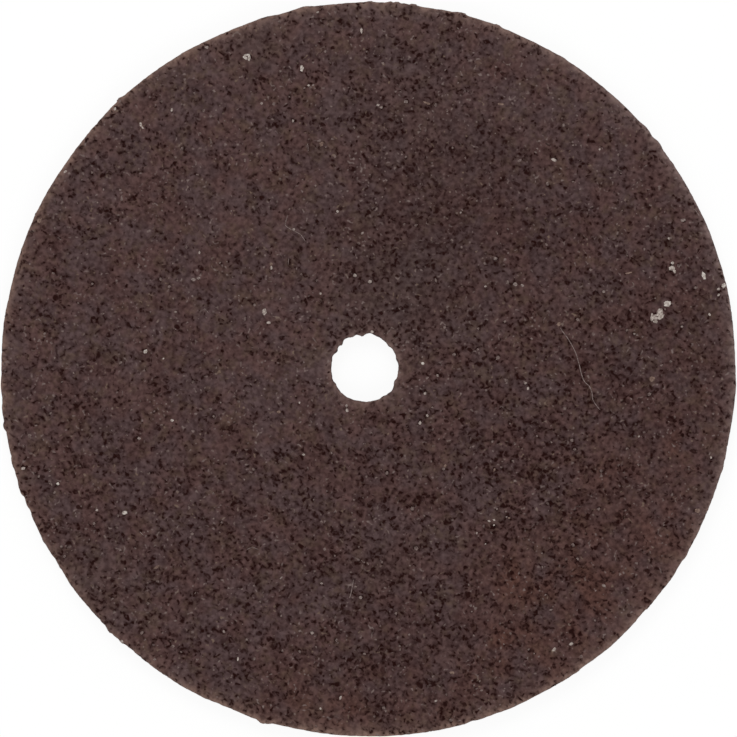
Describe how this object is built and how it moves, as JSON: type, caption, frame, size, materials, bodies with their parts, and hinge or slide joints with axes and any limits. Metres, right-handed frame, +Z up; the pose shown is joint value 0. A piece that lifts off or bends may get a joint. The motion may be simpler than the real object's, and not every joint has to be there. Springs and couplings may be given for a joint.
{
  "type": "cut off wheel",
  "caption": "Thin flat round cut off wheel of resin-bonded abrasive grain with a small plain central bore and a ragged gritty edge, for a rotary tool's screw mandrel.",
  "frame": {"origin": "on the bore axis, at the lower face that the wheel lies on", "axes": "+Z up along the bore axis and across the wheel's thickness, +Y towards the top of the picture, +X to its right"},
  "size_m": [0.024, 0.024, 0.0006],
  "materials": {
    "bonded_grit": "matt dark brown grit in a resin bond, with open pores"
  },
  "bodies": {
    "root": {"abrasive_wheel": "bonded_grit"}
  },
  "joints": []
}
